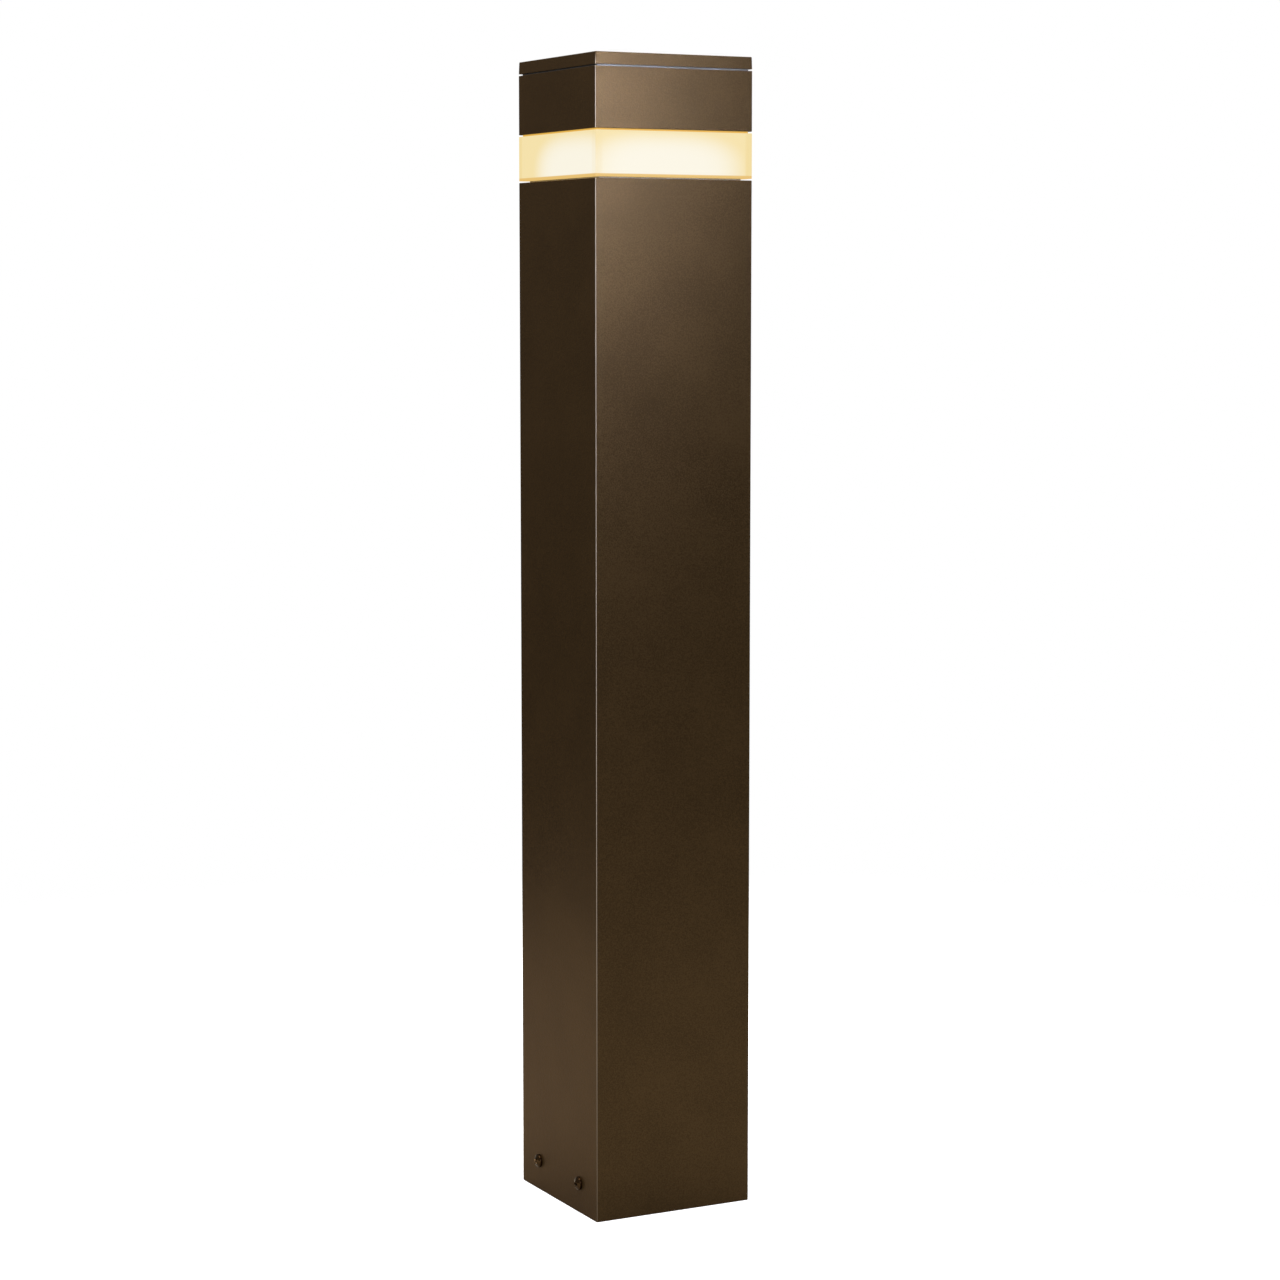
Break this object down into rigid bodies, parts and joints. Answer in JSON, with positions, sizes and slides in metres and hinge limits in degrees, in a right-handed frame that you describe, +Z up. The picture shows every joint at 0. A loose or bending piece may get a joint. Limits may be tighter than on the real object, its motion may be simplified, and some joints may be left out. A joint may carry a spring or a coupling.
{
  "type": "bollard light",
  "caption": "Square path bollard light: bronze column, frosted glowing lens band, metal head and lift-off cap, on an anchor base with a conduit opening.",
  "frame": {"origin": "centre of the square footprint at ground level, under the anchor base and column", "axes": "+Z up along the column; the front face is -Y; the base screws are in the +X and -X faces"},
  "size_m": [0.1606, 0.1524, 1.016],
  "materials": {
    "bronze_powder_coat": "fine-textured dark bronze powder coat",
    "painted_screw": "glossy dark bronze paint on stainless steel",
    "frosted_lens": "satin-frosted acrylic, lit from inside",
    "cast_aluminium": "raw cast, sand-blasted",
    "mill_aluminium": "mill finish",
    "white_reflector": "matt white paint",
    "white_solder_mask": "white solder mask",
    "led_phosphor": "yellow phosphor",
    "gasket_rubber": "grey silicone sponge",
    "zinc_steel": "zinc-plated",
    "stainless_steel": "plain stainless",
    "driver_case": "white painted case",
    "black_nylon": "black nylon",
    "natural_nylon": "natural nylon",
    "green_paint": "green-dyed ground screw",
    "wire_black": "PVC insulation",
    "wire_white": "PVC insulation",
    "wire_green": "PVC insulation",
    "wire_red": "PVC insulation"
  },
  "bodies": {
    "post": {"anchor_base": "cast_aluminium", "ground_screw": "green_paint", "column": "bronze_powder_coat", "base_screws": "painted_screw", "terminal_bracket": "zinc_steel", "bracket_screws": "stainless_steel", "terminal_block": "natural_nylon", "lead_clips": "black_nylon", "deck_plate": "mill_aluminium", "deck_screws": "stainless_steel", "tie_posts": "white_reflector", "lower_gasket": "gasket_rubber", "lens": "frosted_lens", "upper_gasket": "gasket_rubber", "lower_reflector": "white_reflector", "reflector_screws": "stainless_steel", "wireway_stem": "zinc_steel", "stem_locknuts": "zinc_steel", "stem_bushing": "black_nylon", "light_plate": "mill_aluminium", "led_board": "white_solder_mask", "led_packages": "led_phosphor", "led_board_screws": "stainless_steel", "led_connector": "natural_nylon", "head_housing": "bronze_powder_coat", "head_screws": "stainless_steel", "hex_standoffs": "stainless_steel", "led_driver": "driver_case", "driver_screws": "stainless_steel", "lead_line": "wire_black", "lead_neutral": "wire_white", "lead_ground": "wire_green", "led_lead_positive": "wire_red", "led_lead_negative": "wire_black"},
    "cap": {"top_cap": "bronze_powder_coat", "cap_gasket": "gasket_rubber", "cap_screws": "stainless_steel", "captive_washers": "natural_nylon"}
  },
  "joints": [
    {"name": "cap_lift", "type": "slide", "parent": "post", "child": "cap", "axis": [0, 0, 1], "range_m": [0, 0.08]}
  ]
}
